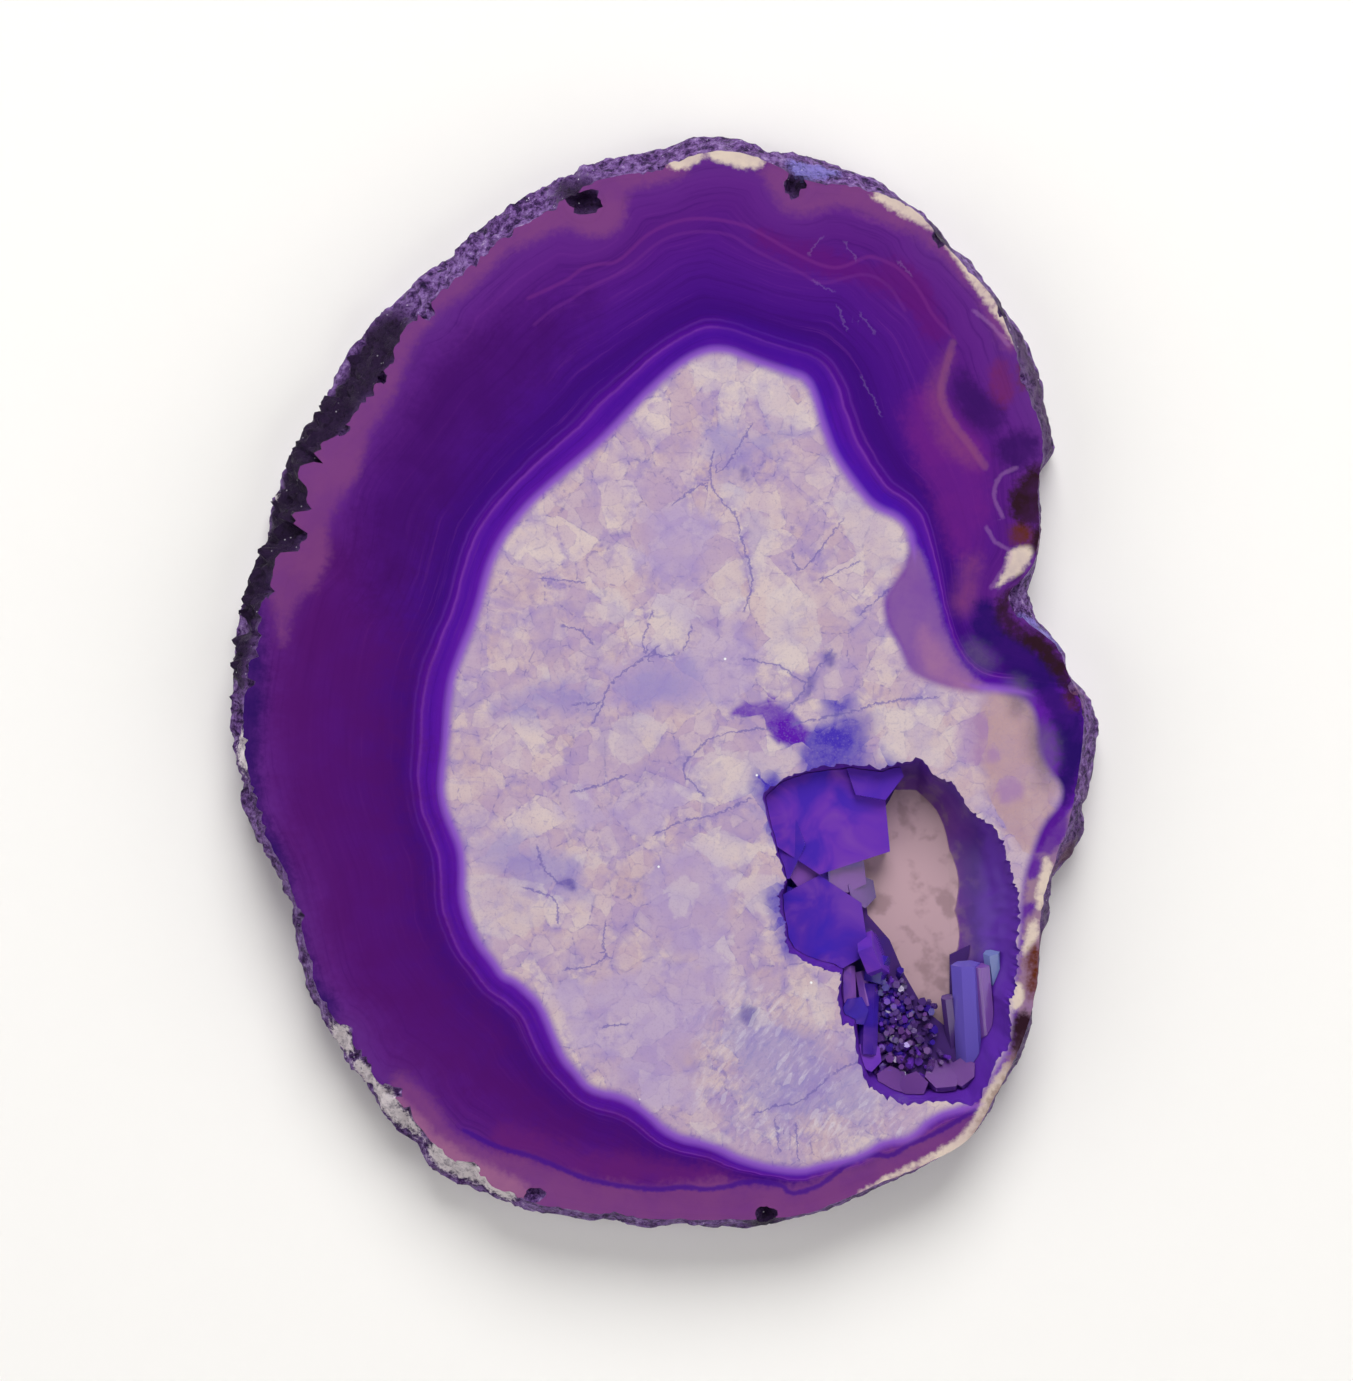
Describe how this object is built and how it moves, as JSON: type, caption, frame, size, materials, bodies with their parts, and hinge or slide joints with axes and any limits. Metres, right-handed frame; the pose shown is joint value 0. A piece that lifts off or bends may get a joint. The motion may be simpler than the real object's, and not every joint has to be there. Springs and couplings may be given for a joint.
{
  "type": "agate slice",
  "caption": "Thin sawn slice of a dyed banded agate nodule, polished on both faces, with a rough rind and a shallow crystal-lined pocket in its quartz centre.",
  "frame": {"origin": "centre of the bounding box, on the back face that the slice lies on", "axes": "+Z out of the polished face that shows, +Y along the slice's length, +X across it"},
  "size_m": [0.0543, 0.0684, 0.005],
  "materials": {
    "dyed_agate": "polished faces, rough rind",
    "quartz_crystal": "natural crystal faces, dyed"
  },
  "bodies": {
    "root": {"agate_slice": "dyed_agate", "crystal_crust": "quartz_crystal"}
  },
  "joints": []
}
